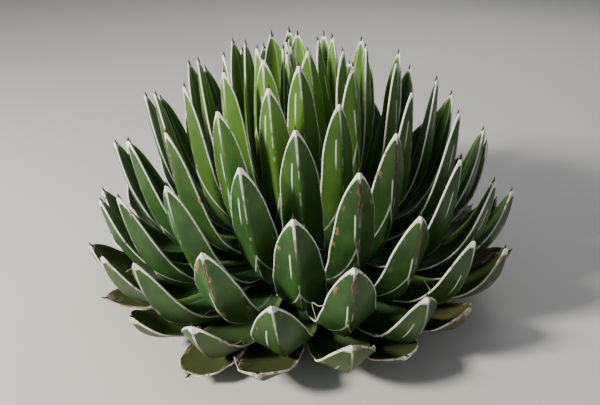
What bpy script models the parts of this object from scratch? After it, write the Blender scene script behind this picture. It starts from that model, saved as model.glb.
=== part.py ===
"""A queen victoria agave, cut off at the foot of its stem and standing on that cut.

Metres, +Z up. The origin is the centre of the flat cut under the stem, and -Y is the
plant's front. All leaves follow one rule. They grow on a spiral of 137.4 degrees a step,
clockwise seen from above, from the youngest in the middle to the oldest at the rim. A
leaf's age, from 0 to 1, says where its root and its tip are, how far it curves in and how
broad it is. A leaf is a blade with a keel underneath and horny margins, ending in a spine.
"""

import math
import random

import bmesh
import bpy
from mathutils import Matrix, Vector

MM = 0.001

# The whole plant: leaves counted from the youngest, and the way they spiral and lean
LEAF_COUNT = 112
BUD_LEAVES = 8
DRY_LEAVES = 13
DIVERGENCE = math.radians(-137.37)
FIRST_AZIMUTH = math.radians(98.8)
LEAN_LEFT = 0.07

# Where the tips are, seen from the centre of the cut
TIP_REACH_YOUNG = 246 * MM
TIP_REACH_LOSS = 44 * MM
TIP_LOSS_POWER = 2.5
TIP_FALL = math.radians(83)
TIP_SAG = math.radians(2)

# How steeply a leaf leaves its root and how steeply its end stands
ROOT_RISE_YOUNG = math.radians(84)
ROOT_RISE_OLD = math.radians(-13)
END_RISE_YOUNG = math.radians(96)
END_RISE_GROWN = math.radians(74)
OLD_AGE = 0.84
OLD_END_DROP = math.radians(24)
ROOT_PULL = 0.4
END_PULL = 0.42
MIDDLE_END_PULL = 0.24
CLEARANCE = 10 * MM

# The stem, and the crown on top of it that the leaves grow from
STEM_FOOT_RADIUS = 36 * MM
STEM_RADIUS = 41 * MM
STEM_HEIGHT = 15 * MM
STEM_EDGE = 1 * MM
CROWN_RADIUS = 64 * MM
CROWN_FOOT_RADIUS = 51 * MM
CROWN_BULGE_HEIGHT = 27 * MM
CROWN_SHOULDER = (54 * MM, 42 * MM)
CROWN_TOP_RADIUS = 20 * MM
CROWN_HEIGHT = 50 * MM
CROWN_DOME = 1 * MM
BULGE_AGE = 0.8
ROOT_SINK = 8 * MM
TURN_STEPS = 20
MERGE_WITHIN = 0.01 * MM
GAP = 0.3 * MM

# One full-grown leaf, and the shares of its length at which it is given a section
HALF_WIDTH = 25 * MM
KEEL_DEPTH = 16 * MM
MARGIN_THICKNESS = 1.5 * MM
MARGIN_RISE = 2.2 * MM
SPINE_LENGTH = 6.5 * MM
SPINE_RADIUS = 1.1 * MM
END_DEPTH = 1.32 * MM
FULL_FROM = 0.4
ROOT_WIDTH_SHARE = 0.38
ROOT_DEPTH_SHARE = 0.55
TIP_DEPTH_SHARE = 0.2
MARGIN_DEPTH_SHARE = 0.8
BLUNT_POWER = 5
THINNING_POWER = 3
STATIONS = (0.0, 0.3, 0.6, 0.84, 0.955, 1.0)

# How much smaller the youngest leaves are, how soon they are full-grown, and the oldest shrink
YOUNG_SHARE = 0.52
GROWN_BY = 0.85
OLD_SHRINKAGE = 0.3

# How far one leaf may stray from the rule
LOOSE_BY = 0.33
STRAY_REACH = 0.02
STRAY_HEIGHT = 3 * MM
STRAY_AZIMUTH = math.radians(1.6)
STRAY_ROLL = math.radians(7)

# The bud of the youngest leaves, pressed to a slim middle
BUD_RADIUS = 7.5 * MM
BUD_ROOT_RADIUS = 3 * MM
BUD_ROOT_RISE = 8 * MM
BUD_MIDDLE_HEIGHT = 170 * MM
BUD_MIDDLE_TOP_RADIUS = 2.25 * MM
BUD_MIDDLE_FOOT_RADIUS = 6 * MM
BUD_INNERMOST_SHARE = 0.1
BUD_TIP_STEP = 2 * MM
BUD_LEAF_SHARES = (0.8, 0.45, 0.3)

# The dead leaves, thin and fallen flat
DRY_REACH = (66 * MM, 92 * MM)
DRY_TIP_HEIGHT = (2.8 * MM, 3.8 * MM)
DRY_ROOT_HEIGHT = 8 * MM
DRY_ROOT_RISE = math.radians(-8)
DRY_END_RISE = 0.0
DRY_WIDTH_SHARE = (0.6, 0.8)
DRY_DEPTH = 2.2 * MM
DRY_MARGIN_RISE = 0.4 * MM
DRY_STRAY_AZIMUTH = math.radians(5)

# Colours and roughness of the sub-parts, and the flattest edge that is shaded as sharp
LEAF_GREEN = (0.075, 0.16, 0.045)
BUD_GREEN = (0.17, 0.29, 0.08)
DRY_BROWN = (0.27, 0.17, 0.09)
LEAF_ROUGHNESS = 0.42
BUD_ROUGHNESS = 0.4
DRY_ROUGHNESS = 0.85
SHARP_FROM = math.radians(40)


def clear_scene():
    for thing in list(bpy.data.objects):
        bpy.data.objects.remove(thing, do_unlink=True)


def new_collection(name):
    made = bpy.data.collections.new(name)
    bpy.context.scene.collection.children.link(made)
    return made


def new_material(name, colour, roughness):
    material = bpy.data.materials.new(name)
    material.use_nodes = True
    shader = material.node_tree.nodes["Principled BSDF"]
    shader.inputs["Base Color"].default_value = (*colour, 1)
    shader.inputs["Roughness"].default_value = roughness
    shader.inputs["Metallic"].default_value = 0
    return material


def ease(x):
    """0 to 1 with a flat start and end."""
    x = min(max(x, 0), 1)
    return x * x * (3 - 2 * x)


def between(young, old, share):
    return young + (old - young) * share


def slope(rise):
    return Vector((math.cos(rise), math.sin(rise)))


def azimuth(number):
    return FIRST_AZIMUTH + DIVERGENCE * number


def on_plant(angle, radius, height):
    """The point at this azimuth from the front, radius and height, with the plant's lean."""
    right = math.sin(angle) * radius
    return Vector((right - LEAN_LEFT * height, -math.cos(angle) * radius, height + LEAN_LEFT * right))


def leaf_tip(age):
    """Radius and height of a leaf's tip: on a dome, from straight above down to the rim."""
    rise = math.pi / 2 - TIP_FALL * age - TIP_SAG * math.sin(math.pi * age)
    reach = TIP_REACH_YOUNG - TIP_REACH_LOSS * age**TIP_LOSS_POWER
    return reach * slope(rise)


def leaf_root(age):
    """Radius and height of a leaf's root, sunk in the crown, lower and further out with age."""
    out = math.sin(ease(age / BULGE_AGE) * math.pi / 2)
    radius = between(CROWN_TOP_RADIUS, CROWN_RADIUS, out) - ROOT_SINK
    return Vector((radius, between(CROWN_HEIGHT, CROWN_BULGE_HEIGHT, age)))


def midline(root, tip, root_rise, end_rise, end_pull=END_PULL):
    """The control points of a cubic curve, radius and height, in the leaf's upright plane."""
    span = (tip - root).length
    leaving = root + ROOT_PULL * span * slope(root_rise)
    arriving = tip - end_pull * span * slope(end_rise)
    return root, leaving, arriving, tip


def along(curve, s):
    """Point and unit tangent of the cubic curve at s from 0 to 1."""
    a, b, c, d = curve
    t = 1 - s
    point = t**3 * a + 3 * t * t * s * b + 3 * t * s * s * c + s**3 * d
    tangent = t * t * (b - a) + 2 * t * s * (c - b) + s * s * (d - c)
    return point, tangent.normalized()


def width_share(s):
    """Share of the full half width at s: narrow root, broad middle, blunt round end."""
    past = max((s - FULL_FROM) / (1 - FULL_FROM), 0)
    return between(ROOT_WIDTH_SHARE, 1, ease(s / FULL_FROM)) * math.sqrt(1 - past**BLUNT_POWER)


def depth_share(s):
    """Share of the keel's full depth at s: thickest where the leaf is widest."""
    past = max((s - FULL_FROM) / (1 - FULL_FROM), 0)
    thinning = between(1, TIP_DEPTH_SHARE, past**THINNING_POWER)
    return between(ROOT_DEPTH_SHARE, 1, ease(s / FULL_FROM)) * thinning


def section(s, half_width, depth, rise):
    """A leaf's section at s: two corners at each margin, the keel and the sunk upper middle."""
    wide = max(half_width * width_share(s), SPINE_RADIUS)
    deep = max(depth * depth_share(s), END_DEPTH)
    top = rise * width_share(s)
    under = top - min(MARGIN_THICKNESS, MARGIN_DEPTH_SHARE * deep)
    return (-wide, top), (-wide, under), (0, -deep), (wide, under), (wide, top), (0, 0)


def make_leaf(name, group, angle, curve, shape, roll=0):
    """A closed leaf: unlike sections lofted along its curve and drawn together in the spine."""
    bm = bmesh.new()
    across = (on_plant(angle + math.pi / 2, 1, 0) - on_plant(0, 0, 0)).normalized()
    rings = []
    for s in STATIONS:
        flat_point, flat_tangent = along(curve, s)
        point = on_plant(angle, *flat_point)
        tangent = (on_plant(angle, *(flat_point + flat_tangent)) - point).normalized()
        side = Matrix.Rotation(roll * s, 3, tangent) @ across
        inward = tangent.cross(side)
        corners = [point + x * side + y * inward for x, y in section(s, *shape)]
        rings.append([bm.verts.new(corner) for corner in corners])
    spine = bm.verts.new(point + tangent * SPINE_LENGTH - inward * SPINE_RADIUS)
    bm.faces.new(rings[0])
    for lower, upper in zip(rings, rings[1:]):
        for i in range(len(lower)):
            j = (i + 1) % len(lower)
            bm.faces.new((lower[i], upper[i], upper[j], lower[j]))
    for i in range(len(rings[-1])):
        bm.faces.new((rings[-1][i], spine, rings[-1][(i + 1) % len(rings[-1])]))
    bmesh.ops.triangulate(bm, faces=bm.faces)
    bmesh.ops.recalc_face_normals(bm, faces=bm.faces)
    mesh = bpy.data.meshes.new(name)
    bm.to_mesh(mesh)
    bm.free()
    group.objects.link(bpy.data.objects.new(name, mesh))


def grown_leaf(number, group):
    """One leaf of the rosette, by its number from the youngest, with its own small strays.

    Its curve is held up by the clearance, lean and all, so that its keel clears the ground.
    """
    chance = random.Random(number)
    age = number / (LEAF_COUNT - 1)
    loose = ease(age / LOOSE_BY)
    old = ease((age - OLD_AGE) / (1 - OLD_AGE))
    grown = between(YOUNG_SHARE, 1, ease(age / GROWN_BY))
    tip = leaf_tip(age) * (1 + loose * chance.uniform(-STRAY_REACH, STRAY_REACH))
    tip.y += loose * chance.uniform(-STRAY_HEIGHT, STRAY_HEIGHT)
    angle = azimuth(number) + loose * chance.uniform(-STRAY_AZIMUTH, STRAY_AZIMUTH)
    roll = loose * chance.uniform(-STRAY_ROLL, STRAY_ROLL)
    root_rise = between(ROOT_RISE_OLD, ROOT_RISE_YOUNG, (1 - age) ** 2)
    end_rise = between(END_RISE_GROWN, END_RISE_YOUNG, (1 - age) ** 2) - OLD_END_DROP * old
    end_pull = END_PULL + MIDDLE_END_PULL * math.sin(math.pi * age)
    curve = midline(leaf_root(age), tip, root_rise, end_rise, end_pull)
    for point in curve[1:3]:
        point.y = max(point.y, CLEARANCE - LEAN_LEFT * math.sin(angle) * point.x)
    depth = KEEL_DEPTH * grown * (1 - OLD_SHRINKAGE * old)
    shape = (HALF_WIDTH * grown, depth, MARGIN_RISE * (2 - grown))
    make_leaf(f"leaf {number}", group, angle, curve, shape, roll)


def bud_leaf(number, group):
    """One of the youngest leaves, upright, its tip drawn in over the bud's middle."""
    root = Vector((BUD_ROOT_RADIUS, CROWN_HEIGHT + BUD_ROOT_RISE))
    out = between(BUD_INNERMOST_SHARE, 1, number / BUD_LEAVES)
    tip = Vector((BUD_RADIUS * out, TIP_REACH_YOUNG - number * BUD_TIP_STEP))
    curve = midline(root, tip, ROOT_RISE_YOUNG, END_RISE_YOUNG)
    shape = [BUD_RADIUS * share for share in BUD_LEAF_SHARES]
    make_leaf(f"bud leaf {number}", group, azimuth(number), curve, shape)


def dry_leaf(number, group):
    """One dead leaf, older than the rosette, its tip just above the ground despite the lean."""
    chance = random.Random(number)
    angle = azimuth(number) + chance.uniform(-DRY_STRAY_AZIMUTH, DRY_STRAY_AZIMUTH)
    root = Vector((STEM_RADIUS - ROOT_SINK, DRY_ROOT_HEIGHT))
    reach = chance.uniform(*DRY_REACH)
    leaned = LEAN_LEFT * math.sin(angle) * reach
    tip = Vector((reach, chance.uniform(*DRY_TIP_HEIGHT) - leaned))
    curve = midline(root, tip, DRY_ROOT_RISE, DRY_END_RISE)
    shape = (HALF_WIDTH * chance.uniform(*DRY_WIDTH_SHARE), DRY_DEPTH, DRY_MARGIN_RISE)
    make_leaf(f"dry leaf {number}", group, angle, curve, shape)


def turned(name, group, profile):
    """A solid turned about the Z axis from radius and height pairs, listed top to bottom."""
    mesh = bpy.data.meshes.new(name)
    points = [(radius, 0, height) for radius, height in profile]
    mesh.from_pydata(points, [(i, i + 1) for i in range(len(points) - 1)], [])
    solid = bpy.data.objects.new(name, mesh)
    group.objects.link(solid)
    screw = solid.modifiers.new("turn", "SCREW")
    screw.steps = TURN_STEPS
    screw.render_steps = TURN_STEPS
    screw.use_merge_vertices = True
    screw.merge_threshold = MERGE_WITHIN
    return solid


def keep_largest(mesh):
    """Fills sealed hollows and drops loose scraps: only the largest joined surface stays."""
    bm = bmesh.new()
    bm.from_mesh(mesh)
    unseen = set(bm.faces)
    shells = []
    while unseen:
        shell = [unseen.pop()]
        for face in shell:
            near = {other for edge in face.edges for other in edge.link_faces} & unseen
            unseen -= near
            shell.extend(near)
        shells.append(shell)
    shells.sort(key=len)
    scraps = [face for shell in shells[:-1] for face in shell]
    bmesh.ops.delete(bm, geom=scraps, context="FACES")
    bm.to_mesh(mesh)
    bm.free()


def fuse(solid, repeats):
    """Joins the repeats' objects to the solid with one union, applied, and removes them."""
    union = solid.modifiers.new("join", "BOOLEAN")
    union.operation = "UNION"
    union.operand_type = "COLLECTION"
    union.collection = repeats
    union.solver = "MANIFOLD"
    graph = bpy.context.evaluated_depsgraph_get()
    joined = bpy.data.meshes.new_from_object(solid.evaluated_get(graph))
    solid.modifiers.clear()
    solid.data = joined
    keep_largest(joined)
    for repeat in list(repeats.objects):
        bpy.data.objects.remove(repeat, do_unlink=True)
    bpy.data.collections.remove(repeats)


def finish(solid, material):
    solid.data.materials.clear()
    solid.data.materials.append(material)
    solid.data.polygons.foreach_set("material_index", [0] * len(solid.data.polygons))
    solid.data.set_sharp_from_angle(angle=SHARP_FROM)


def build_leaves(plant):
    """The grown leaves, fused to the low crown that they all grow from."""
    foot = STEM_HEIGHT + GAP
    crown = turned("leaves", plant, (
        (0, CROWN_HEIGHT),
        (CROWN_TOP_RADIUS, CROWN_HEIGHT - CROWN_DOME),
        CROWN_SHOULDER,
        (CROWN_RADIUS, CROWN_BULGE_HEIGHT),
        (CROWN_FOOT_RADIUS, foot),
        (0, foot),
    ))
    repeats = new_collection("leaf repeats")
    for number in range(BUD_LEAVES, LEAF_COUNT):
        grown_leaf(number, repeats)
    fuse(crown, repeats)
    finish(crown, new_material("leaf green", LEAF_GREEN, LEAF_ROUGHNESS))


def build_bud(plant):
    """The youngest leaves, fused to a slim middle that stands on the crown."""
    foot = CROWN_HEIGHT + GAP
    middle = turned("bud", plant, (
        (0, BUD_MIDDLE_HEIGHT),
        (BUD_MIDDLE_TOP_RADIUS, BUD_MIDDLE_HEIGHT - BUD_RADIUS),
        (BUD_MIDDLE_FOOT_RADIUS, foot),
        (0, foot),
    ))
    repeats = new_collection("bud repeats")
    for number in range(BUD_LEAVES):
        bud_leaf(number, repeats)
    fuse(middle, repeats)
    finish(middle, new_material("bud green", BUD_GREEN, BUD_ROUGHNESS))


def build_stem(plant):
    """The woody stem with its flat cut, and the dead leaves still fast to it."""
    stem = turned("stem_and_dry_leaves", plant, (
        (0, STEM_HEIGHT),
        (STEM_RADIUS - STEM_EDGE, STEM_HEIGHT),
        (STEM_RADIUS, STEM_HEIGHT - STEM_EDGE),
        (STEM_RADIUS, DRY_ROOT_HEIGHT),
        (STEM_FOOT_RADIUS, 0),
        (0, 0),
    ))
    repeats = new_collection("dry repeats")
    for number in range(LEAF_COUNT, LEAF_COUNT + DRY_LEAVES):
        dry_leaf(number, repeats)
    fuse(stem, repeats)
    finish(stem, new_material("dry brown", DRY_BROWN, DRY_ROUGHNESS))


def main():
    clear_scene()
    plant = new_collection("queen victoria agave")
    build_leaves(plant)
    build_bud(plant)
    build_stem(plant)


main()
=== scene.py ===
import math
import random

import bpy
import numpy as np
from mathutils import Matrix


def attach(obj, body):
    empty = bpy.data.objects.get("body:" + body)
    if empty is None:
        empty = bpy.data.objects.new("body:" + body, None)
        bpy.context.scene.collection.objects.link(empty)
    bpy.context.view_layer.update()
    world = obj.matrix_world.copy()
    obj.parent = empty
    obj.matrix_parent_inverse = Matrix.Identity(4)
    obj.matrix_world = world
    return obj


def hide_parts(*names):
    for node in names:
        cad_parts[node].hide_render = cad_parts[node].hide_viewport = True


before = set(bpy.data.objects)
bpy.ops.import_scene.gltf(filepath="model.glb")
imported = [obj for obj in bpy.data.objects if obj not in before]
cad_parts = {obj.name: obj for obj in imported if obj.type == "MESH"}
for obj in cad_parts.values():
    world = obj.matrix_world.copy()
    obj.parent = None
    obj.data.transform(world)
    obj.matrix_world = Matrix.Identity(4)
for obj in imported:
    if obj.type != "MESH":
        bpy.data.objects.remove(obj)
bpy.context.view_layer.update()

# A queen victoria agave. Its leaves follow the rule of the solids' leaves, with finer surfaces.
# Metres, +Z up, -Y towards the plant's front. A leaf's age runs from 0, the youngest, to 1.

MM = 0.001

# The whole plant: leaves counted from the youngest, and the way they spiral and lean
LEAF_COUNT = 112
BUD_LEAVES = 8
DRY_LEAVES = 13
DIVERGENCE = math.radians(-137.37)
FIRST_AZIMUTH = math.radians(98.8)
LEAN_LEFT = 0.07

# Where the tips are, seen from the centre of the cut
TIP_REACH_YOUNG = 246 * MM
TIP_REACH_LOSS = 44 * MM
TIP_LOSS_POWER = 2.5
TIP_FALL = math.radians(83)
TIP_SAG = math.radians(2)

# How steeply a leaf leaves its root and how steeply its end stands
ROOT_RISE_YOUNG = math.radians(84)
ROOT_RISE_OLD = math.radians(-13)
END_RISE_YOUNG = math.radians(96)
END_RISE_GROWN = math.radians(74)
OLD_AGE = 0.84
OLD_END_DROP = math.radians(24)
ROOT_PULL = 0.4
END_PULL = 0.42
MIDDLE_END_PULL = 0.24
CLEARANCE = 10 * MM

# The stem and the crown, with their outlines as radius and height pairs, bottom to top
STEM_RADIUS = 41 * MM
STEM_HEIGHT = 15 * MM
STEM_OUTLINE = (
    (36 * MM, 0), (36.6 * MM, 1 * MM), (38.5 * MM, 4 * MM), (40.5 * MM, 7 * MM),
    (STEM_RADIUS, 9 * MM), (STEM_RADIUS, 12 * MM), (40.5 * MM, 14 * MM), (39 * MM, STEM_HEIGHT))
STEM_BUMPS = 0.008
STEM_SIDES = 90
GAP = 0.3 * MM
CROWN_RADIUS = 64 * MM
CROWN_BULGE_HEIGHT = 27 * MM
CROWN_TOP_RADIUS = 20 * MM
CROWN_HEIGHT = 50 * MM
CROWN_OUTLINE = (
    (51 * MM, STEM_HEIGHT + GAP), (58 * MM, 20 * MM), (62.5 * MM, 24 * MM),
    (CROWN_RADIUS, CROWN_BULGE_HEIGHT), (60 * MM, 35 * MM), (54 * MM, 42 * MM),
    (38 * MM, 46.5 * MM), (CROWN_TOP_RADIUS, 49 * MM), (2 * MM, CROWN_HEIGHT))
CROWN_BUMPS = 0.004
CROWN_SIDES = 60
BULGE_AGE = 0.8
ROOT_SINK = 8 * MM

# One full-grown leaf
HALF_WIDTH = 25 * MM
KEEL_DEPTH = 16 * MM
KEEL_ROUNDING = 0.8 * MM
KEEL_ROUNDING_SHARE = 0.3
MARGIN_THICKNESS = 1.5 * MM
MARGIN_DEPTH_SHARE = 0.8
MARGIN_RISE = 2.2 * MM
BEAD_BULGE = 0.24
BEAD_TIP_BULGE = 0.36
BEAD_TIP_LENGTH = 12 * MM
END_HALF_WIDTH = 0.825 * MM
END_DEPTH = 1.32 * MM
END_CAP = 1 * MM
FULL_FROM = 0.4
ROOT_WIDTH_SHARE = 0.38
ROOT_DEPTH_SHARE = 0.55
TIP_DEPTH_SHARE = 0.2
THINNING_POWER = 3
TAPER = 0.07
BLUNT_POWER = 7.5
ROUND_POWER = 0.85

# Waves of a margin: share of the width, and radians from root to tip; calm near the tip
EDGE_WAVE = (0.018, 41)
BROAD_WAVE = (0.012, 23)
CALM_FROM_TIP = 0.125

# The spine at a leaf's end
SPINE_LENGTH = 6.5 * MM
SPINE_RADIUS = 1.1 * MM
SPINE_SUNK = 1.5 * MM
SPINE_BEND = 1.2 * MM
SPINE_DIP = 0.88 * MM
SPINE_POINT = 0.12 * MM
SPINE_LENGTH_SHARE = (0.75, 1.05)
SPINE_FOOT_SHARE = 0.95
SPINE_TAPER_POWER = 1.4
SPINE_STEPS = 8
SPINE_SIDES = 8

# How much smaller the youngest leaves are, how soon they are full-grown, and the oldest shrink
YOUNG_SHARE = 0.52
GROWN_BY = 0.85
OLD_SHRINKAGE = 0.3

# How far one leaf may stray from the rule
LOOSE_BY = 0.33
STRAY_REACH = 0.02
STRAY_HEIGHT = 3 * MM
STRAY_AZIMUTH = math.radians(1.6)
STRAY_ROLL = math.radians(7)

# The bud of the youngest leaves, pressed to a slim middle
BUD_RADIUS = 7.5 * MM
BUD_ROOT_RADIUS = 3 * MM
BUD_ROOT_RISE = 8 * MM
BUD_MIDDLE_HEIGHT = 170 * MM
BUD_MIDDLE_RADIUS = 6 * MM
BUD_MIDDLE_TOP_RADIUS = 0.2 * MM
BUD_MIDDLE_STEPS = 12
BUD_MIDDLE_SIDES = 24
BUD_TIP_STEP = 2 * MM
BUD_INNERMOST_SHARE = 0.1
BUD_LEAF_SHARES = (0.8, 0.45, 0.3)

# The dead leaves, thin and fallen flat
DRY_REACH = (66 * MM, 92 * MM)
DRY_TIP_HEIGHT = (2.8 * MM, 3.8 * MM)
DRY_ROOT_HEIGHT = 8 * MM
DRY_ROOT_RISE = math.radians(-8)
DRY_END_RISE = 0.0
DRY_WIDTH_SHARE = (0.6, 0.8)
DRY_DEPTH = 2.2 * MM
DRY_MARGIN_RISE = 0.4 * MM
DRY_STRAY_AZIMUTH = math.radians(5)

# Strips of margin peeled off the older leaves: their start and length as shares of the leaf,
# how far they bow in from it, how unevenly, and the share of the bow that goes sideways
PEELED_FROM_AGE = 0.66
PEELED_TWICE = 16
PEELED_START = (0.45, 0.78)
PEELED_LENGTH = (0.1, 0.22)
PEELED_BOW = (2 * MM, 12 * MM)
PEELED_UNEVEN = 0.3
PEELED_SPREAD = 0.3
PEELED_RADIUS = 0.42 * MM
PEELED_LOWEST = 1.5 * MM
PEELED_STEPS = 22
PEELED_SIDES = 6
PEELED_SEED = 5

# Steps round a leaf's section (upper face, each margin, back), rings along a leaf, how much
# they crowd towards the tip and the keel, and how many leaves are the plainer inner ones
FINE_STEPS = (10, 4, 14)
PLAIN_STEPS = (8, 3, 10)
DRY_STEPS = (10, 2, 10)
OUTER_RINGS = 40
INNER_RINGS = 30
BUD_RINGS = 34
DRY_RINGS = 30
TIP_CROWDING = 1.45
KEEL_CROWDING = 1.35
INNER_LEAVES = 56

# Added to a leaf's number, this seeds the chance numbers of its looks
LOOKS_SEED = 1000


def ease(x):
    """0 to 1 with a flat start and end."""
    x = np.clip(x, 0, 1)
    return x * x * (3 - 2 * x)


def between(young, old, share):
    return young + (old - young) * share


def unit(vectors):
    return vectors / np.linalg.norm(vectors, axis=-1, keepdims=True)


def slope(rise):
    return np.array((math.cos(rise), math.sin(rise)))


def azimuth(number):
    return FIRST_AZIMUTH + DIVERGENCE * number


def outward(angle):
    """The plant's outward direction at this azimuth from the front, leaned."""
    return np.array((math.sin(angle), -math.cos(angle), LEAN_LEFT * math.sin(angle)))


UPWARD = np.array((-LEAN_LEFT, 0, 1))


def leaf_tip(age):
    """Radius and height of a leaf's tip: on a dome, from straight above down to the rim."""
    rise = math.pi / 2 - TIP_FALL * age - TIP_SAG * math.sin(math.pi * age)
    return (TIP_REACH_YOUNG - TIP_REACH_LOSS * age**TIP_LOSS_POWER) * slope(rise)


def leaf_root(age):
    """Radius and height of a leaf's root, sunk in the crown, lower and further out with age."""
    out = math.sin(ease(age / BULGE_AGE) * math.pi / 2)
    radius = between(CROWN_TOP_RADIUS, CROWN_RADIUS, out) - ROOT_SINK
    return np.array((radius, between(CROWN_HEIGHT, CROWN_BULGE_HEIGHT, age)))


def midline(root, tip, root_rise, end_rise, end_pull=END_PULL):
    """Control points of a cubic curve, radius and height, in the leaf's upright plane."""
    span = np.linalg.norm(tip - root)
    leaving = root + ROOT_PULL * span * slope(root_rise)
    arriving = tip - end_pull * span * slope(end_rise)
    return [root, leaving, arriving, tip]


def along(curve, s):
    """Points and tangents of the cubic curve at each s."""
    a, b, c, d = curve
    s = s[:, None]
    t = 1 - s
    points = t**3 * a + 3 * t * t * s * b + 3 * t * s * s * c + s**3 * d
    return points, t * t * (b - a) + 2 * t * s * (c - b) + s * s * (d - c)


def past_full(s):
    """0 up to where a leaf is broadest, then evenly up to 1 at its tip."""
    return np.maximum((s - FULL_FROM) / (1 - FULL_FROM), 0)


def width_share(s):
    """Share of the full half width at s: an eased rise, a slight taper and a blunt round end."""
    past = past_full(s)
    ending = (1 - TAPER * past) * (1 - past**BLUNT_POWER) ** ROUND_POWER
    return between(ROOT_WIDTH_SHARE, 1, ease(s / FULL_FROM)) * ending


def depth_share(s):
    """Share of the keel's full depth at s: an eased rise, then a power's thinning to the tip."""
    thinning = between(1, TIP_DEPTH_SHARE, past_full(s) ** THINNING_POWER)
    return between(ROOT_DEPTH_SHARE, 1, ease(s / FULL_FROM)) * thinning


class Leaf:
    """One leaf of the rule: its curve, its azimuth, its shape and its own chance numbers."""

    def __init__(self, number, age, angle, curve, shape, roll=0):
        self.age = age
        self.angle = angle
        self.curve = curve
        self.half_width, self.depth, self.rise = shape
        self.roll = roll
        self.looks = random.Random(LOOKS_SEED + number)
        self.kind = self.looks.random()

    def frame_at(self, s):
        """Points, side and inward directions and tangents at each s.

        The side direction is the level one, turned about the tangent by the roll times s.
        """
        flat_points, flat_tangents = along(self.curve, s)
        base = np.stack((outward(self.angle), UPWARD))
        points = flat_points @ base
        tangents = unit(flat_tangents @ base)
        across = unit(outward(self.angle + math.pi / 2))
        turn = (self.roll * s)[:, None]
        dots = (tangents @ across)[:, None]
        side = across * np.cos(turn) + np.cross(tangents, across) * np.sin(turn)
        side = unit(side + tangents * dots * (1 - np.cos(turn)))
        return points, side, np.cross(tangents, side), tangents


def grown_leaf(number):
    """One leaf of the rosette, by its number from the youngest, with its own small strays."""
    chance = random.Random(number)
    age = number / (LEAF_COUNT - 1)
    loose = ease(age / LOOSE_BY)
    old = ease((age - OLD_AGE) / (1 - OLD_AGE))
    grown = between(YOUNG_SHARE, 1, ease(age / GROWN_BY))
    tip = leaf_tip(age) * (1 + loose * chance.uniform(-STRAY_REACH, STRAY_REACH))
    tip[1] += loose * chance.uniform(-STRAY_HEIGHT, STRAY_HEIGHT)
    angle = azimuth(number) + loose * chance.uniform(-STRAY_AZIMUTH, STRAY_AZIMUTH)
    roll = loose * chance.uniform(-STRAY_ROLL, STRAY_ROLL)
    root_rise = between(ROOT_RISE_OLD, ROOT_RISE_YOUNG, (1 - age) ** 2)
    end_rise = between(END_RISE_GROWN, END_RISE_YOUNG, (1 - age) ** 2) - OLD_END_DROP * old
    end_pull = END_PULL + MIDDLE_END_PULL * math.sin(math.pi * age)
    curve = midline(leaf_root(age), tip, root_rise, end_rise, end_pull)
    for point in curve[1:3]:
        point[1] = max(point[1], CLEARANCE - LEAN_LEFT * math.sin(angle) * point[0])
    depth = KEEL_DEPTH * grown * (1 - OLD_SHRINKAGE * old)
    shape = (HALF_WIDTH * grown, depth, MARGIN_RISE * (2 - grown))
    return Leaf(number, age, angle, curve, shape, roll)


def bud_leaf(number):
    """One of the youngest leaves, upright, its tip drawn in over the bud's middle."""
    root = np.array((BUD_ROOT_RADIUS, CROWN_HEIGHT + BUD_ROOT_RISE))
    out = between(BUD_INNERMOST_SHARE, 1, number / BUD_LEAVES)
    tip = np.array((BUD_RADIUS * out, TIP_REACH_YOUNG - number * BUD_TIP_STEP))
    curve = midline(root, tip, ROOT_RISE_YOUNG, END_RISE_YOUNG)
    shape = [BUD_RADIUS * share for share in BUD_LEAF_SHARES]
    return Leaf(number, 0, azimuth(number), curve, shape)


def dry_leaf(number):
    """One dead leaf, older than the rosette, its tip just above the ground despite the lean."""
    chance = random.Random(number)
    angle = azimuth(number) + chance.uniform(-DRY_STRAY_AZIMUTH, DRY_STRAY_AZIMUTH)
    root = np.array((STEM_RADIUS - ROOT_SINK, DRY_ROOT_HEIGHT))
    reach = chance.uniform(*DRY_REACH)
    leaned = LEAN_LEFT * math.sin(angle) * reach
    tip = np.array((reach, chance.uniform(*DRY_TIP_HEIGHT) - leaned))
    curve = midline(root, tip, DRY_ROOT_RISE, DRY_END_RISE)
    shape = (HALF_WIDTH * chance.uniform(*DRY_WIDTH_SHARE), DRY_DEPTH, DRY_MARGIN_RISE)
    return Leaf(number, 1, angle, curve, shape)


def section_steps(face_steps, edge_steps, back_steps):
    """Steps once round a leaf's section, from the left margin over the upper face and back below.

    Each step is a share across from -1 to 1, which part it is on (0 the upper face, 1 the
    margin, 2 the back) and, on a margin, the share of the way round it. On both faces the
    shares are sines of an even turn. A power draws those of the back closer to the keel.
    """
    face = np.sin(np.linspace(-1, 1, face_steps + 1) * math.pi / 2)
    back = np.sin(np.linspace(1, -1, back_steps + 1) * math.pi / 2)
    back = np.sign(back) * np.abs(back) ** KEEL_CROWDING
    edge = np.ones(edge_steps)
    way_down = np.linspace(0, 1, edge_steps + 2)[1:-1]
    share = np.concatenate((face, edge, back, -edge))
    part = np.concatenate((0 * face, edge, np.full(len(back), 2), edge))
    way = np.concatenate((0 * face, way_down, np.ones(len(back)), 1 - way_down))
    return share, part, way


def closed_skin(rings, foot, cap):
    """Points and quads of a skin from rings of points, closed by a point at either end.

    The faces point outwards where the rings turn anticlockwise seen from the cap. A face at
    an end names its end point twice.
    """
    ring_count, sides = rings.shape[:2]
    verts = np.concatenate((rings.reshape(-1, 3), [foot, cap]))
    j = np.arange(sides)
    k = (j + 1) % sides
    i = np.arange(ring_count - 1)[:, None] * sides
    walls = np.stack((i + j, i + k, i + sides + k, i + sides + j), axis=-1).reshape(-1, 4)
    last = (ring_count - 1) * sides
    foot_at = np.full(sides, ring_count * sides)
    low = np.stack((k, j, foot_at, foot_at), axis=-1)
    high = np.stack((last + j, last + k, foot_at + 1, foot_at + 1), axis=-1)
    return verts, np.concatenate((walls, low, high))


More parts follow.
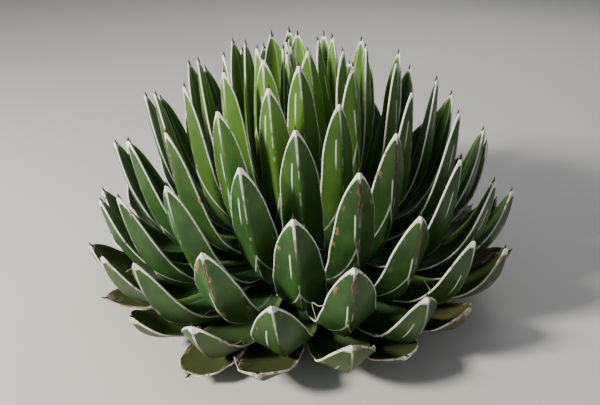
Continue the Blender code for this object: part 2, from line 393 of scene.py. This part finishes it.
def leaf_surface(leaf, ring_count, steps):
    """A leaf's closed skin, as points, quads and per-point facts.

    Round the section, the upper face is a shallow trough, height equal to the rise times the
    square of the share across. Each margin is a half-round bead that swells near the tip. The
    back falls from the margins to a rounded keel, its depth going almost evenly with the share
    across. Along the leaf, the half width is its share times one plus two sines of s, and the
    rings are closer towards the tip.
    """
    share, part, way = section_steps(*steps)
    s = 1 - (1 - np.linspace(0, 1, ring_count)) ** TIP_CROWDING
    points, side, inward, _ = leaf.frame_at(s)
    steps_along = np.linalg.norm(np.diff(points, axis=0), axis=1)
    length = np.concatenate(([0], np.cumsum(steps_along)))
    to_tip = (length[-1] - length)[:, None]
    wave = leaf.looks.uniform(0, 6)
    wavy = 1 + EDGE_WAVE[0] * np.sin(s * EDGE_WAVE[1] + wave) * ease((1 - s) / CALM_FROM_TIP)
    wavy = wavy + BROAD_WAVE[0] * np.sin(s * BROAD_WAVE[1] + wave * 2)
    wide = np.maximum(leaf.half_width * width_share(s) * wavy, END_HALF_WIDTH)[:, None]
    deep = np.maximum(leaf.depth * depth_share(s), END_DEPTH)[:, None]
    top = (leaf.rise * width_share(s))[:, None]
    thick = np.minimum(MARGIN_THICKNESS, MARGIN_DEPTH_SHARE * deep)
    rounding = np.minimum(KEEL_ROUNDING, KEEL_ROUNDING_SHARE * wide)
    x = wide * share
    from_keel = np.sqrt(x * x + rounding**2) - rounding
    from_keel = from_keel / (np.sqrt(wide**2 + rounding**2) - rounding)
    below = -deep + (deep + top - thick) * from_keel
    bead = thick * (BEAD_BULGE + BEAD_TIP_BULGE * ease(1 - to_tip / BEAD_TIP_LENGTH))
    bead_x = np.sign(share) * (wide + bead * np.sin(way * math.pi))
    y = np.where(part == 0, top * share**2, np.where(part == 1, top - thick * way, below))
    x = np.where(part == 1, bead_x, x)
    rings = points[:, None] + side[:, None] * x[..., None] + inward[:, None] * y[..., None]
    cap = points[-1] + unit(points[-1] - points[-2]) * END_CAP
    verts, faces = closed_skin(rings, points[0], cap)

    def spread(values, at_foot, at_cap):
        return np.concatenate((np.broadcast_to(values, x.shape).ravel(), (at_foot, at_cap)))

    facts = {
        "across_mm": spread(x / MM, 0, 0),
        "half_mm": spread(wide / MM, wide[0, 0] / MM, 0.1),
        "tip_mm": spread(to_tip / MM, to_tip[0, 0] / MM, 0),
        "along": spread(s[:, None], 0, 1),
        "back": spread(part[None] / 2, 0.5, 0.5),
        "leaf": np.full(len(verts), leaf.kind),
        "age": np.full(len(verts), leaf.age),
    }
    return verts, faces[:, ::-1], facts


def tube_surface(points, radii, sides):
    """A closed round tube along a line of points.

    Each ring is its point plus its radius times the cosine and sine of the turn, along two
    directions square to the line.
    """
    tangent = unit(np.gradient(points, axis=0))
    first = unit(np.cross(tangent, (0.31, 0.17, 0.93)))
    second = np.cross(tangent, first)
    turn = np.linspace(0, 2 * math.pi, sides, endpoint=False)[None, :, None]
    ring = first[:, None] * np.cos(turn) + second[:, None] * np.sin(turn)
    rings = points[:, None] + ring * radii[:, None, None]
    return *closed_skin(rings, points[0], points[-1]), {}


def turned_surface(outline, sides, bumps=0.0):
    """A closed surface turned about Z from radius and height pairs, bottom to top.

    The radius at each point is the outline's, times one plus the size of the bumps times a
    sum of two sines of the turn and the height.
    """
    outline = np.asarray(outline, float)
    radius, height = outline[:, :1], outline[:, 1:]
    turn = np.linspace(0, 2 * math.pi, sides, endpoint=False)
    ripple = np.sin(turn * 13 + height * 900) + np.sin(turn * 8 - height * 700)
    radius = radius * (1 + bumps * ripple)
    rings = np.stack((radius * np.cos(turn), radius * np.sin(turn), height + 0 * turn), axis=-1)
    return *closed_skin(rings, (0, 0, outline[0, 1]), (0, 0, outline[-1, 1])), {}


def make_piece(name, surfaces, material, node):
    """One object from several surfaces, riding the frame in place of the CAD node.

    A corner that a face names twice is dropped, and the facts become the mesh's attributes.
    """
    starts = np.cumsum([0] + [len(verts) for verts, _, _ in surfaces])
    verts = np.concatenate([verts for verts, _, _ in surfaces])
    faces = np.concatenate([quads + start for (_, quads, _), start in zip(surfaces, starts)])
    corners = [list(dict.fromkeys(row)) for row in faces.tolist()]
    mesh = bpy.data.meshes.new(name)
    mesh.from_pydata(verts.tolist(), [], corners)
    for fact in surfaces[0][2]:
        layer = mesh.attributes.new(fact, "FLOAT", "POINT")
        values = np.concatenate([facts[fact] for _, _, facts in surfaces])
        layer.data.foreach_set("value", values.astype(np.float32))
    mesh.polygons.foreach_set("use_smooth", np.ones(len(mesh.polygons), bool))
    mesh.materials.append(material)
    piece = bpy.data.objects.new(name, mesh)
    bpy.context.scene.collection.objects.link(piece)
    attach(piece, "root")
    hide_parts(node)


class Value:
    """A number in a node tree, so that shader maths reads as Python arithmetic."""

    def __init__(self, tree, socket):
        self.tree = tree
        self.socket = socket

    def do(self, operation, *others):
        """The outcome of one Math node on this value and the others."""
        return self.tree.node("ShaderNodeMath", {"operation": operation}, (self, *others))

    def __add__(self, other):
        return self.do("ADD", other)

    def __sub__(self, other):
        return self.do("SUBTRACT", other)

    def __mul__(self, other):
        return self.do("MULTIPLY", other)

    def __rsub__(self, other):
        return self * -1 + other

    __radd__ = __add__
    __rmul__ = __mul__

    def size(self):
        return self.do("ABSOLUTE")

    def most(self, other):
        return self.do("MAXIMUM", other)

    def rise(self, low, high):
        """0 below low, 1 above high and smooth between."""
        settings = {"interpolation_type": "SMOOTHSTEP", "clamp": True}
        return self.tree.node("ShaderNodeMapRange", settings, (self, low, high, 0, 1))

    def fall(self, low, high):
        """1 below low, 0 above high and smooth between."""
        return 1 - self.rise(low, high)


class Tree:
    """A material's node tree, with one method for every kind of node."""

    def __init__(self, name):
        self.material = bpy.data.materials.new(name)
        self.material.use_nodes = True
        self.nodes = self.material.node_tree.nodes
        self.shader = self.nodes["Principled BSDF"]
        self.shader.inputs["Specular IOR Level"].default_value = 0.35

    def link(self, value, socket):
        if isinstance(value, Value):
            self.material.node_tree.links.new(value.socket, socket)
        elif hasattr(socket.default_value, "__len__") and len(socket.default_value) == 4:
            socket.default_value = (*value, 1)
        else:
            socket.default_value = value

    def node(self, kind, settings, inputs, output=0):
        """A new node. Inputs are a row from the first socket on, or a dict by name or place."""
        made = self.nodes.new(kind)
        for setting, value in settings.items():
            setattr(made, setting, value)
        pairs = inputs.items() if isinstance(inputs, dict) else enumerate(inputs)
        for place, value in pairs:
            self.link(value, made.inputs[place])
        return Value(self, made.outputs[output])

    def fact(self, name):
        return self.node("ShaderNodeAttribute", {"attribute_name": name}, {}, "Fac")

    def place(self, x, y, z):
        return self.node("ShaderNodeCombineXYZ", {}, (x, y, z))

    def noise(self, where, scale, detail=3):
        inputs = {"Vector": where, "Scale": scale, "Detail": detail}
        return self.node("ShaderNodeTexNoise", {}, inputs, "Fac")

    def object_noise(self, scale, detail=3):
        return self.noise(self.node("ShaderNodeTexCoord", {}, {}, "Object"), scale, detail)

    def mix(self, share, first, second):
        """Two colours mixed: places 6 and 7 are the node's colour inputs, 2 is its output."""
        inputs = {0: share, 6: first, 7: second}
        return self.node("ShaderNodeMix", {"data_type": "RGBA"}, inputs, 2)

    def finish(self, colour, roughness, height=None, strength=0.3, distance=0.6 * MM):
        self.link(colour, self.shader.inputs["Base Color"])
        self.link(roughness, self.shader.inputs["Roughness"])
        if height is not None:
            inputs = {"Strength": strength, "Distance": distance, "Height": height}
            self.link(self.node("ShaderNodeBump", {}, inputs), self.shader.inputs["Normal"])
        return self.material


WHITE_HORN = (0.84, 0.85, 0.76)
GREY_HORN = (0.42, 0.38, 0.3)
SPINE_DARK = (0.02, 0.012, 0.008)
SPINE_BROWN = (0.08, 0.045, 0.03)
LEAF_DARK = (0.013, 0.046, 0.012)
LEAF_LIGHT = (0.05, 0.125, 0.02)
YOUNG_LIGHT = (0.14, 0.29, 0.03)
OLD_OLIVE = (0.06, 0.055, 0.018)
BASE_BLOOM = (0.05, 0.11, 0.05)
CROWN_DULL = (0.12, 0.17, 0.07)
CROWN_PALE = (0.3, 0.33, 0.2)
SCAR_TAN = (0.3, 0.19, 0.09)
SCAR_DARK = (0.035, 0.02, 0.012)
DRY_BROWN = (0.12, 0.07, 0.035)
DRY_TAN = (0.36, 0.25, 0.14)
DRY_GREY = (0.33, 0.29, 0.23)
THREAD_BROWN = (0.3, 0.21, 0.12)
THREAD_PALE = (0.7, 0.64, 0.5)
WOOD_DARK = (0.07, 0.04, 0.02)
WOOD_LIGHT = (0.3, 0.2, 0.11)
FLOOR_PALE = (0.62, 0.6, 0.57)


class LeafSkin(Tree):
    """A leaf's skin. Distances are in millimetres, and each noise differs from leaf to leaf."""

    def __init__(self, name):
        super().__init__(name)
        self.across = self.fact("across_mm")
        self.half = self.fact("half_mm")
        self.tip = self.fact("tip_mm")
        self.share = self.fact("along")
        self.back = self.fact("back").rise(0.6, 0.9)
        self.leaf = self.fact("leaf")
        self.age = self.fact("age")
        self.edge = self.half - self.across.size()
        self.streaks = self.leaf_noise(0.35, 0.02, self.leaf * 37, 2.0)
        self.clouds = self.leaf_noise(0.05, 0.03, self.leaf * 91 + self.back, 1.6)
        self.grain = self.leaf_noise(0.8, 0.5, self.leaf * 13 + self.back, 1.2)
        self.patches = self.leaf_noise(0.12, 0.06, self.leaf * 71, 1.4)
        self.breaks = self.leaf_noise(0, 0.05, self.leaf * 53, 1.5)

    def leaf_noise(self, across_scale, along_scale, height, scale):
        where = self.place(self.across * across_scale, self.tip * along_scale, height)
        return self.noise(where, scale)

    def greens(self):
        """Dark green, yellower when young, olive when old, with a pale bloom near the root."""
        age, leaf = self.age, self.leaf
        light = self.clouds.rise(0.3, 0.7) * 0.45 + self.streaks * 0.4
        green = self.mix(light, LEAF_DARK, LEAF_LIGHT)
        green = self.mix(age.fall(0.0, 0.45) * 0.75, green, YOUNG_LIGHT)
        green = self.mix(age.rise(0.68, 0.95) * (0.5 + leaf * 0.45), green, OLD_OLIVE)
        green = self.mix(self.share.fall(0.25, 0.7) * 0.7, green, BASE_BLOOM)
        inside = (1 - self.back) * self.edge.fall(2.0, 5.5) * age.fall(0.6, 0.95) * 0.65
        return self.mix(inside, green, YOUNG_LIGHT)

    def rims(self):
        """The horny margin, broader near the tip, the cap on the tip and the broken keel line."""
        wide = 0.12 + self.tip.fall(3, 16) * 0.8 + (self.grain - 0.5) * 1.3
        margin = 1 - (self.edge - wide).rise(-0.25, 0.3)
        cap = (self.tip + (self.grain - 0.5) * 5).fall(3.2, 5.0)
        near = (self.across.size() - 0.25 - self.tip.fall(5, 40) * 0.5).fall(0.1, 0.45)
        line = self.breaks.rise(0.5, 0.62) * 0.4 + self.tip.fall(6, 40) * 0.6
        return margin.most(cap).most(self.back * near * line * 0.85)

    def marks(self):
        """White marks that neighbours pressed in.

        On the back they are a dash and a wedge, on the upper face two faint lines.
        """
        half, leaf, tip = self.half, self.leaf, self.tip
        start = 20 + leaf * 18
        middle = half * (leaf * 0.35 - 0.5) + (tip - start) * (leaf - 0.3) * 0.08
        dash = (self.across - middle).size().fall(0.3, 0.65)
        dash = dash * (tip - start).rise(0, 3) * (tip - start).fall(16, 30)
        askew = (self.across + half * (leaf - 0.5) * 0.35).size()
        pressed = half * (0.66 + leaf * 0.14 - self.share) * (3.2 - leaf)
        wedge = (askew - pressed).size().fall(0.35, 0.8)
        wedge = wedge * (self.breaks + self.clouds).rise(0.65, 1.0) * 0.6
        line = (askew - half * 0.5).size().fall(0.4, 1.5) * self.age.fall(0.5, 0.9) * 0.16
        return (self.back * (dash * 0.85).most(wedge)).most((1 - self.back) * line)

    def scars(self):
        """Patches near the margins and the keel, more of them on older leaves."""
        near = self.edge.fall(1.5, 5).most(self.across.size().fall(1, 4) * self.back)
        worn = self.patches + self.age * 0.1 + self.age.rise(0.7, 1) * 0.1 + self.leaf * 0.1
        return near * worn.rise(0.75, 0.8)

    def crack(self):
        """How far a point is in a broken keel, which one leaf in four has, and its colour."""
        path = (self.across + (self.patches - 0.5) * 8).size()
        crack = self.back * (path - self.breaks * 1.6).fall(0.4, 1.1)
        crack = crack * self.tip.rise(5, 9) * self.tip.fall(26, 48)
        crack = crack * self.leaf.rise(0.7, 0.74) * self.age.rise(0.3, 0.4)
        return crack, self.mix(path.rise(0.3, 1.2) * self.grain, SCAR_DARK, SCAR_TAN)

    def dried_tips(self):
        """The ends of some of the oldest leaves."""
        ragged = (self.tip + (self.patches - 0.5) * 40).fall(3, 9)
        return self.age.rise(0.82, 0.86) * self.leaf.rise(0.4, 0.5) * ragged


def leaf_material(name):
    """The leaf's waxy green under its white rims and marks, its scars, cracks and dried tips."""
    skin = LeafSkin(name)
    white = skin.rims().most(skin.marks())
    aged = skin.age.rise(0.55, 0.95) * skin.clouds.rise(0.35, 0.6)
    colour = skin.mix(white, skin.greens(), skin.mix(aged, WHITE_HORN, GREY_HORN))
    scars = skin.scars()
    colour = skin.mix(scars * 0.85, colour, SCAR_TAN)
    crack, torn = skin.crack()
    colour = skin.mix(crack * 0.95, colour, torn)
    colour = skin.mix(skin.dried_tips() * 0.9, colour, DRY_GREY)
    dull = skin.streaks * 0.12 + skin.age.rise(0.75, 0.95) * 0.2
    height = skin.streaks * 0.6 + skin.grain * 0.25 + scars - crack * 2
    return skin.finish(colour, 0.36 + white * 0.2 + scars * 0.3 + dull, height)


def dry_material(name):
    """Brown, grey and tan, dry and fibrous."""
    tree = Tree(name)
    across, tip, leaf = tree.fact("across_mm"), tree.fact("tip_mm"), tree.fact("leaf")
    fibre = tree.noise(tree.place(across * 0.9, tip * 0.04, leaf * 37), 1.8, 5)
    clouds = tree.noise(tree.place(across * 0.1, tip * 0.05, leaf * 11), 1.7)
    colour = tree.mix(fibre.rise(0.3, 0.7), DRY_BROWN, DRY_TAN)
    colour = tree.mix(clouds.rise(0.5, 0.7) * 0.6, colour, DRY_GREY)
    return tree.finish(colour, 0.8 + fibre * 0.15, fibre, 0.8, 1 * MM)


def spine_material():
    """Dark horn, mottled with brown."""
    tree = Tree("dark horn")
    grain = tree.object_noise(900)
    return tree.finish(tree.mix(grain, SPINE_DARK, SPINE_BROWN), 0.45 + grain * 0.2)


def stem_material():
    """Woody brown, rough and fibrous."""
    tree = Tree("stem wood")
    grain = tree.object_noise(160, 6)
    colour = tree.mix(grain.rise(0.35, 0.65), WOOD_DARK, WOOD_LIGHT)
    return tree.finish(colour, 0.85, grain, 0.7, 1.5 * MM)


def mottled_material(name, scale, dark, light, roughness):
    """Two colours of one finish, mottled."""
    tree = Tree(name)
    return tree.finish(tree.mix(tree.object_noise(scale), dark, light), roughness)


def crown_material():
    return mottled_material("crown green", 90, CROWN_DULL, CROWN_PALE, 0.6)


def thread_material():
    return mottled_material("dry thread", 120, THREAD_BROWN, THREAD_PALE, 0.7)


def spine_surface(leaf):
    """A leaf's end spine: a thin cone from the white cap, bent a little towards the middle.

    Its line goes straight on from the leaf, inwards by the bend times the square of t less the
    dip times t. Its radius falls by a power of t to a fine point.
    """
    end, _, inward, tangent = (found[0] for found in leaf.frame_at(np.ones(1)))
    t = np.linspace(0, 1, SPINE_STEPS)[:, None]
    length = SPINE_LENGTH * leaf.looks.uniform(*SPINE_LENGTH_SHARE)
    line = end + tangent * (t * length - SPINE_SUNK)
    line = line + inward * (SPINE_BEND * t**2 - SPINE_DIP * t)
    foot = SPINE_FOOT_SHARE * SPINE_RADIUS
    radii = foot * (1 - t[:, 0] ** SPINE_TAPER_POWER) + SPINE_POINT
    return tube_surface(line, radii, SPINE_SIDES)


def thread_surface(leaf, start, end, bow, chance):
    """A strip of margin peeled off the leaf, held at both ends of its stretch and bowed out.

    It stands off the margin by the bow times half a sine wave, made uneven by a second sine.
    """
    t = np.linspace(0, 1, PEELED_STEPS)
    s = between(start, end, t)
    points, side, inward, _ = leaf.frame_at(s)
    wide = leaf.half_width * width_share(s)
    turn = chance.choice((-1, 1))
    uneven = 1 + PEELED_UNEVEN * np.sin(t * 7 + chance.uniform(0, 6))
    out = (bow * np.sin(t * math.pi) * uneven)[:, None]
    line = points + side * turn * (wide[:, None] + PEELED_SPREAD * out) + inward * out
    line[:, 2] = np.maximum(line[:, 2], PEELED_LOWEST)
    return tube_surface(line, np.full(len(t), PEELED_RADIUS), PEELED_SIDES)


def peeled_threads(leaves):
    """One strip from each of the older leaves, and a second from each of the very oldest."""
    chance = random.Random(PEELED_SEED)
    old = [leaf for leaf in leaves if leaf.age > PEELED_FROM_AGE]
    threads = []
    for leaf in old + old[-PEELED_TWICE:]:
        start = chance.uniform(*PEELED_START)
        end = start + chance.uniform(*PEELED_LENGTH)
        bow = chance.uniform(*PEELED_BOW)
        threads.append(thread_surface(leaf, start, end, bow, chance))
    return threads


def build_leaves():
    """The grown leaves with their spines and peeled margins, and the crown they grow from."""
    green = leaf_material("leaf skin")
    leaves = [grown_leaf(number) for number in range(BUD_LEAVES, LEAF_COUNT)]
    inner = [leaf_surface(leaf, INNER_RINGS, PLAIN_STEPS) for leaf in leaves[:INNER_LEAVES]]
    outer = [leaf_surface(leaf, OUTER_RINGS, FINE_STEPS) for leaf in leaves[INNER_LEAVES:]]
    spines = [spine_surface(leaf) for leaf in leaves]
    crown = turned_surface(CROWN_OUTLINE, CROWN_SIDES, CROWN_BUMPS)
    threads = peeled_threads(leaves)
    make_piece("inner_leaves", inner, green, "leaves")
    make_piece("outer_leaves", outer, green, "leaves")
    make_piece("leaf_spines", spines, spine_material(), "leaves")
    make_piece("crown", [crown], crown_material(), "leaves")
    make_piece("peeled_margins", threads, thread_material(), "leaves")


def build_bud():
    """The youngest leaves, and the slim middle that they are pressed to.

    The middle's radius falls by a power of the height, faster near its top.
    """
    leaves = [bud_leaf(number) for number in range(BUD_LEAVES)]
    surfaces = [leaf_surface(leaf, BUD_RINGS, PLAIN_STEPS) for leaf in leaves]
    spines = [spine_surface(leaf) for leaf in leaves]
    t = np.linspace(0, 1, BUD_MIDDLE_STEPS)
    heights = between(CROWN_HEIGHT + GAP, BUD_MIDDLE_HEIGHT, t)
    radii = BUD_MIDDLE_RADIUS * (1 - t) ** 0.35 * (1 - 0.5 * t) + BUD_MIDDLE_TOP_RADIUS
    middle = turned_surface(np.stack((radii, heights), axis=-1), BUD_MIDDLE_SIDES)
    make_piece("bud_leaves", surfaces, leaf_material("bud leaf skin"), "bud")
    make_piece("bud_spines", spines, spine_material(), "bud")
    make_piece("bud_middle", [middle], crown_material(), "bud")


def build_stem():
    """The dead leaves, and the woody stem with its flat cut."""
    leaves = [dry_leaf(number) for number in range(LEAF_COUNT, LEAF_COUNT + DRY_LEAVES)]
    dead = [leaf_surface(leaf, DRY_RINGS, DRY_STEPS) for leaf in leaves]
    stem = turned_surface(STEM_OUTLINE, STEM_SIDES, STEM_BUMPS)
    node, slot = "stem_and_dry_leaves", "dry_leaf"
    make_piece("dead_leaves", dead, dry_material("dead leaf"), node)
    make_piece("stem", [stem], stem_material(), node)


# The stage: the floor, each lamp's power, size, place and colour, and the sky's light
FLOOR_SIZE = 24
FLOOR_DROP = 0.6 * MM
LAMPS = {
    "key": (54, 0.25, (-1.25, -0.72, 0.95), (1, 0.96, 0.88)),
    "fill": (2.4, 1.2, (0.9, -1.4, 0.9), (0.92, 0.96, 1)),
    "back": (7, 0.8, (0.5, 1.2, 1.1), (1, 1, 1)),
}
LAMPS_AIM = np.array((0, 0, 0.1))
SKY_COLOUR = (0.85, 0.92, 1, 1)
SKY_STRENGTH = 0.22

# The camera: its elevation and distance, and in pixels the picture's size, the focal length
# and where the centre of the cut is seen
CAMERA_RISE = math.radians(27.9)
CAMERA_DISTANCE = 0.66
PICTURE_SIZE = (600, 405)
FOCAL_LENGTH = 606.8
CENTRE_SEEN_AT = (305.3, 268)
SENSOR_WIDTH = 36
CLIP_START = 0.01


def add_lamp(name, power, size, spot, colour):
    """An area lamp, turned to look at the plant's middle."""
    light = bpy.data.lights.new(name, "AREA")
    light.energy = power
    light.size = size
    light.color = colour
    lamp = bpy.data.objects.new(name, light)
    lamp.location = spot
    aim = LAMPS_AIM - spot
    tilt = math.atan2(math.hypot(aim[0], aim[1]), -aim[2])
    lamp.rotation_euler = (tilt, 0, math.atan2(aim[1], aim[0]) - math.pi / 2)
    bpy.context.scene.collection.objects.link(lamp)


def add_camera():
    """The camera, moved square to its view so that the plant sits off the picture's middle."""
    forward = np.array((0, math.cos(CAMERA_RISE), -math.sin(CAMERA_RISE)))
    up = np.array((0, math.sin(CAMERA_RISE), math.cos(CAMERA_RISE)))
    right = np.array((1, 0, 0))
    pixel = CAMERA_DISTANCE / FOCAL_LENGTH
    aside = (CENTRE_SEEN_AT[0] - PICTURE_SIZE[0] / 2) * pixel
    above = (CENTRE_SEEN_AT[1] - PICTURE_SIZE[1] / 2) * pixel
    camera = bpy.data.cameras.new("camera")
    camera.sensor_width = SENSOR_WIDTH
    camera.lens = FOCAL_LENGTH * SENSOR_WIDTH / PICTURE_SIZE[0]
    camera.clip_start = CLIP_START
    eye = bpy.data.objects.new("camera", camera)
    eye.location = above * up - aside * right - CAMERA_DISTANCE * forward
    eye.rotation_euler = (math.pi / 2 - CAMERA_RISE, 0, 0)
    bpy.context.scene.collection.objects.link(eye)
    bpy.context.scene.camera = eye


def build_stage():
    """A pale floor, soft studio lights and the camera at the photo's angle."""
    bpy.ops.mesh.primitive_plane_add(size=FLOOR_SIZE, location=(0, 0, -FLOOR_DROP))
    floor = bpy.context.object
    floor.name = "floor"
    floor.data.materials.append(Tree("pale floor").finish(FLOOR_PALE, 0.8))
    sky = bpy.data.worlds.new("studio")
    sky.use_nodes = True
    background = sky.node_tree.nodes["Background"]
    background.inputs["Color"].default_value = SKY_COLOUR
    background.inputs["Strength"].default_value = SKY_STRENGTH
    bpy.context.scene.world = sky
    for name, lamp in LAMPS.items():
        add_lamp(name, *lamp)
    add_camera()


build_leaves()
build_bud()
build_stem()
build_stage()
